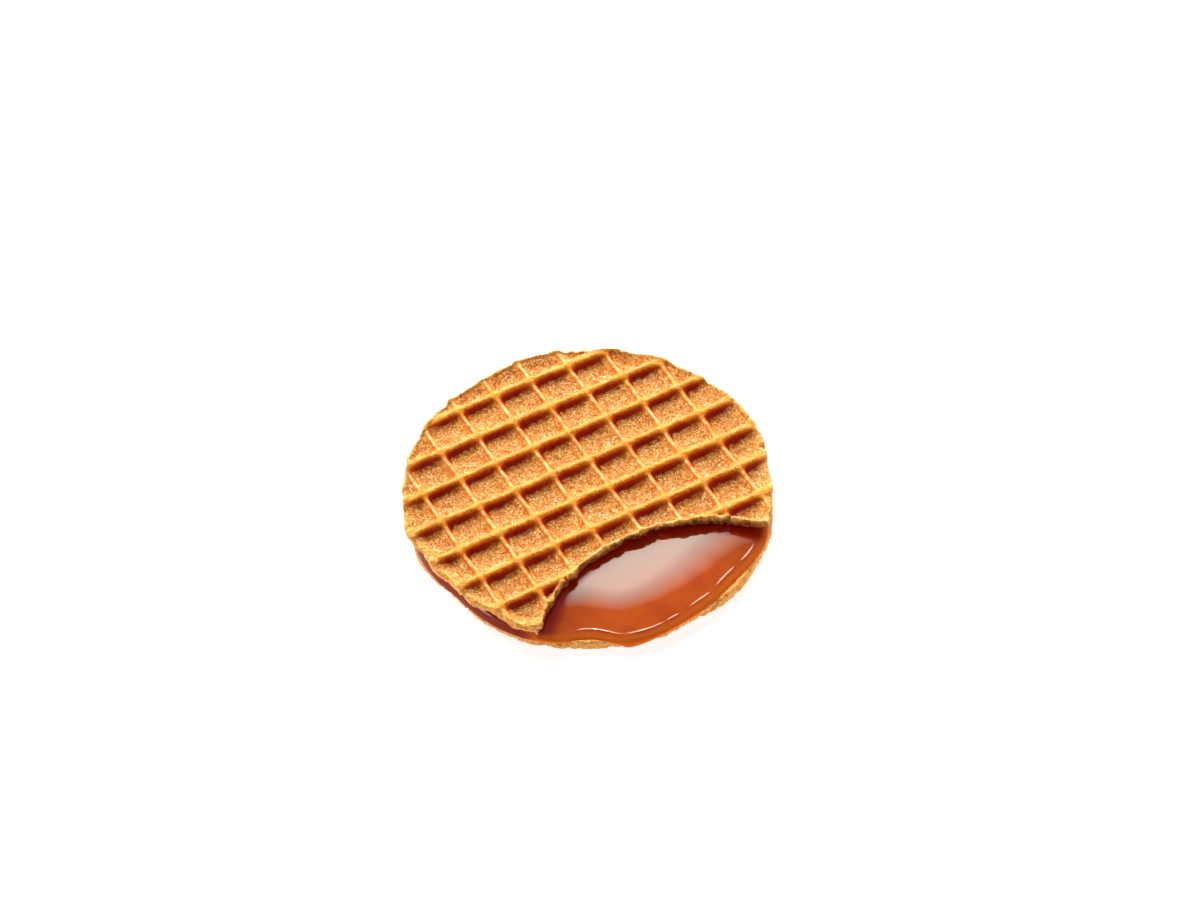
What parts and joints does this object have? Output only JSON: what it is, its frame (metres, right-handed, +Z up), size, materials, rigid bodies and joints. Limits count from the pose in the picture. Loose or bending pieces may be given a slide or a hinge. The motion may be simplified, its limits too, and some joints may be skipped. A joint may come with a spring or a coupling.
{
  "type": "stroopwafel",
  "caption": "Round caramel-filled waffle biscuit: a lower waffle, a caramel layer that runs over its rim, and a bitten upper waffle.",
  "frame": {"origin": "middle of the lower waffle's underside, where two of its ridges cross, on the plane the biscuit rests on", "axes": "+Z up through the layers, the shortest extent; the bitten side faces -Y, a little towards +X"},
  "size_m": [0.0796, 0.082, 0.0075],
  "materials": {
    "lower_waffle": "pale golden baked crumb, matte, with a fine open grain",
    "caramel": "wet, clear red-brown caramel syrup, mirror-smooth where the bite bares it",
    "upper_waffle": "golden-brown baked crust, grainy with a faint sugar glint, its ridges lighter than its pockets"
  },
  "bodies": {
    "root": {"lower_waffle": "lower_waffle", "caramel_filling": "caramel", "upper_waffle": "upper_waffle"}
  },
  "joints": []
}
